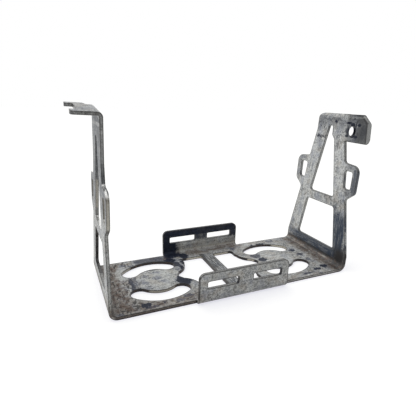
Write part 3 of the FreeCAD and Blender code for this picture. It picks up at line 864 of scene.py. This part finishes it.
colour = over(colour, GRIME_AND_SHADE, times(ring_cut, RING_CUT_SHADE))
colour = over(colour, RUST_BROWN, times(ring_cut, rust, RING_RUST))
colour = over(colour, GRIME_AND_SHADE, times(low_cut, outer_cut, outer_grime))
colour = over(colour, TAN_METAL_AND_HIGHLIGHT, times(ring_cut, worn_and_highlit_cut))
colour = over(colour, LIGHT_METAL_AND_HIGHLIGHT, times(right_front_cut, where(rust, *RIGHT_FRONT_LIGHT)))

# Cut faces of the fork's arm: grimy and tan by turns up the arm, the front leg rubbed bright
# and the rear leg near black low down, painted shade. Each pair of shares is for the rust spots
# and for the rest.
UPPER_GRIME = (0.0, 0.35)
EAR_TAN = 0.6
FORK_GRIME = (0.08, 0.32)
LEG_RUB = (0.66, 0.02)
TOP_RUB = 0.22
REAR_CUT_SHADE = (0.97, 0.72)
MIDDLE_STRIP = 1.0
FORK_GRIME_Z = 100.5
left_end = short_of(true_x, -OUTER_CUT_X)
fork_arm_cut = times(cut, left_end)
front_leg_cut = times(fork_arm_cut, short_of(true_y, -MIDDLE_STRIP))
rear_leg_cut = times(fork_arm_cut, beyond(true_y, MIDDLE_STRIP))
upper_grime = times(rise(z, 64.0, 74.0), where(rust, *UPPER_GRIME))
ear_tan = times(rise(z, 46.0, 49.0), rise(z, 66.0, 63.0), EAR_TAN)
fork_grime = times(beyond(true_z, FORK_GRIME_Z), where(rust, *FORK_GRIME))
leg_rub = times(rise(z, 14.0, 20.0), rise(z, 47.0, 44.0), where(rust, *LEG_RUB))
top_rub = times(rise(z, 70.0, 76.0), rise(true_z, FORK_Z, 98.0), TOP_RUB)
rear_cut_shade = times(rise(z, 40.0, 34.0), where(rust, *REAR_CUT_SHADE))
colour = over(colour, GRIME_AND_SHADE, times(fork_arm_cut, upper_grime))
colour = over(colour, TAN_METAL_AND_HIGHLIGHT, times(fork_arm_cut, ear_tan))
colour = over(colour, GRIME_AND_SHADE, times(fork_arm_cut, fork_grime))
colour = over(colour, LIGHT_METAL_AND_HIGHLIGHT, times(front_leg_cut, leg_rub))
colour = over(colour, LIGHT_METAL_AND_HIGHLIGHT, times(front_leg_cut, top_rub))
colour = over(colour, GRIME_AND_SHADE, times(rear_leg_cut, rear_cut_shade))

# Front flange: dirty at its foot and along its cut edges. A black line of painted contact shadow runs
# along the very bottom of the flange and of the base's front edge
FLANGE_FOOT_GRIME = (0.25, 0.10)
FLANGE_CUT_GRIME = (0.65, 0.85)
CONTACT_SHADOW_LINE = 0.8
FLANGE_CUT_X = 31.5
FLANGE_CUT_Y = -29.5
LOOKS_UP = 0.5
flange_foot = times(on_front_flange, rise(true_z, 5.0, 2.0))
flange_edge = times(cut, short_of(true_y, FLANGE_CUT_Y), short_of(far_x, FLANGE_CUT_X))
flange_cut = times(flange_edge, beyond(true_z, BASE_TOP), short_of(upwards, LOOKS_UP))
# Painted contact shadow: a black line at the very bottom of the front
contact_shadow_line = times(rise(true_z, 1.1, 0.5), rise(true_y, -26.0, -29.0), CONTACT_SHADOW_LINE)
colour = over(colour, GRIME_AND_SHADE, times(flange_foot, where(rust, *FLANGE_FOOT_GRIME)))
colour = over(colour, GRIME_AND_SHADE, times(flange_cut, where(rust, *FLANGE_CUT_GRIME)))
colour = over(colour, GRIME_AND_SHADE, contact_shadow_line)

# Cut faces that look up on the fork's arm get a painted highlight of near-white metal; elsewhere the
# edges have their two lines, the lighter one partly a painted highlight
UPPER_HIGHLIGHT = 0.95
HIGHLIGHT_FROM_Z = 30.0
HIGHLIGHT_TO_Z = 100.0
SHARPNESS = (0.78, 0.95)
RIM_WEAR_AND_HIGHLIGHT = (0.60, 0.26)
ARM_RIM = (0.5, 1.0)
upright = times(beyond(true_z, HIGHLIGHT_FROM_Z), short_of(true_z, HIGHLIGHT_TO_Z), left_end)
highlighted_upper_cut = times(cut, rise(turned[2], 0.35, 0.75), upright)
rim_wear_and_highlight = times(where(rust, *RIM_WEAR_AND_HIGHLIGHT), where(arm_zone, *ARM_RIM))
clean_rim_wear_and_highlight = times(rim_band, less(1.0, stain_and_slot_shade), rim_wear_and_highlight)
dirt_line = times(edge, where(arm_zone, *SHARPNESS), less(1.0, highlighted_upper_cut))
colour = over(colour, HIGHLIGHT_EDGE, times(highlighted_upper_cut, UPPER_HIGHLIGHT))
colour = over(colour, LIGHT_METAL_AND_HIGHLIGHT, clean_rim_wear_and_highlight)
colour = over(colour, GRIME_AND_SHADE, dirt_line)
feed(finish, shader.inputs["Base Color"], colour)

# The cut faces are smoother and more metallic than the dull skin, which is slightly uneven
# The up-facing cut faces on the fork's arm, which carry the painted highlight, are the most metallic
# and the smoothest
UPPER_METAL = 0.95
CUT_METALNESS = 0.7
SKIN_METAL = 0.25
UPPER_DULLNESS = 0.30
CUT_DULLNESS = 0.42
SKIN_DULLNESS = 0.62
MOTTLE_GLOSS = 0.12
SKIN_STRENGTH = 0.6
SKIN_DEPTH = 0.00006
metalness = where(highlighted_upper_cut, UPPER_METAL, where(cut, CUT_METALNESS, SKIN_METAL))
dullness = where(highlighted_upper_cut, UPPER_DULLNESS, where(cut, CUT_DULLNESS, SKIN_DULLNESS))
skin = put(finish, "ShaderNodeBump")
skin.inputs["Strength"].default_value = SKIN_STRENGTH
skin.inputs["Distance"].default_value = SKIN_DEPTH
feed(finish, skin.inputs["Height"], mottle)
feed(finish, shader.inputs["Metallic"], metalness)
feed(finish, shader.inputs["Roughness"], less(dullness, times(mottle, MOTTLE_GLOSS)))
feed(finish, shader.inputs["Normal"], skin.outputs[0])
bracket.data.materials.clear()
bracket.data.materials.append(worn_sheet)
